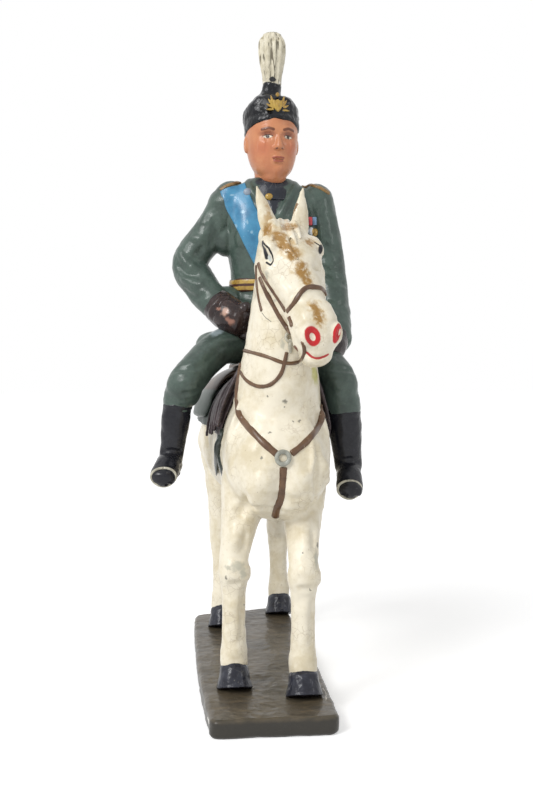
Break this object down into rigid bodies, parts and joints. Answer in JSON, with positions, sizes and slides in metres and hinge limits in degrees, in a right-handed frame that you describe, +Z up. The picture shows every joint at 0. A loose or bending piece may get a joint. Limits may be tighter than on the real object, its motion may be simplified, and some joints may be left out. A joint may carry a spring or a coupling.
{
  "type": "equestrian toy figure",
  "caption": "Mounted toy figure of painted composition: a parade horse on a flat plate and a plumed rider who lifts off the saddle on a wire peg.",
  "frame": {"origin": "middle of the plate's underside", "axes": "+Z up; the horse faces -Y; its right (off) side is -X"},
  "size_m": [0.0431, 0.0814, 0.1318],
  "materials": {
    "plate": "brown-grey paint on composition, dull, scratched",
    "horse": "cream paint on composition, aged gloss with crazing",
    "hair": "cream paint over modelled hair",
    "hoof": "blue-black paint, glossy",
    "leather": "brown paint on raised straps",
    "saddle": "dark brown paint",
    "cloth": "grey-green paint",
    "fur": "dark brown paint over modelled strands",
    "tunic": "dark green paint, aged gloss",
    "boot": "black paint, glossy",
    "glove": "dark brown paint, glossy and worn",
    "skin": "flesh paint, satin",
    "cap": "black paint, high gloss",
    "gilt": "gold paint, dulled",
    "collar": "dark navy paint",
    "sash": "sky-blue paint, glossy",
    "plume": "cream paint, crevices darkened",
    "medal": "red and light-blue ribbons, silver and gold discs",
    "steel": "dull grey wire"
  },
  "bodies": {
    "horse": {"base_plate": "plate", "horse_body": "horse", "tail": "hair", "mane": "hair", "off_fore_hoof": "hoof", "off_hind_hoof": "hoof", "near_fore_hoof": "hoof", "near_hind_hoof": "hoof", "fore_leg_wire": "steel", "hind_leg_wire": "steel", "saddle_cloth": "cloth", "saddle_fur": "fur", "saddle": "saddle", "girth": "cloth", "breast_ring": "steel", "off_breast_strap": "leather", "near_breast_strap": "leather", "breast_drop_strap": "leather", "headstall": "leather", "noseband": "leather", "throatlatch": "leather", "off_bit_ring": "steel", "near_bit_ring": "steel", "off_snaffle_rein": "leather", "near_snaffle_rein": "leather", "off_curb_rein": "leather", "near_curb_rein": "leather"},
    "rider": {"rider_tunic": "tunic", "rider_head": "skin", "collar": "collar", "cap": "cap", "cap_badge": "gilt", "plume": "plume", "plume_wire": "steel", "sash": "sash", "belt": "gilt", "medals": "medal", "right_sleeve": "tunic", "left_sleeve": "tunic", "right_glove": "glove", "left_glove": "glove", "right_breeches_leg": "tunic", "left_breeches_leg": "tunic", "right_boot": "boot", "left_boot": "boot", "right_stirrup": "steel", "left_stirrup": "steel", "right_epaulette": "gilt", "left_epaulette": "gilt", "seat_peg": "steel"}
  },
  "joints": [
    {"name": "rider_lift", "type": "slide", "parent": "horse", "child": "rider", "axis": [0, 0, 1], "range_m": [0, 0.066]}
  ]
}
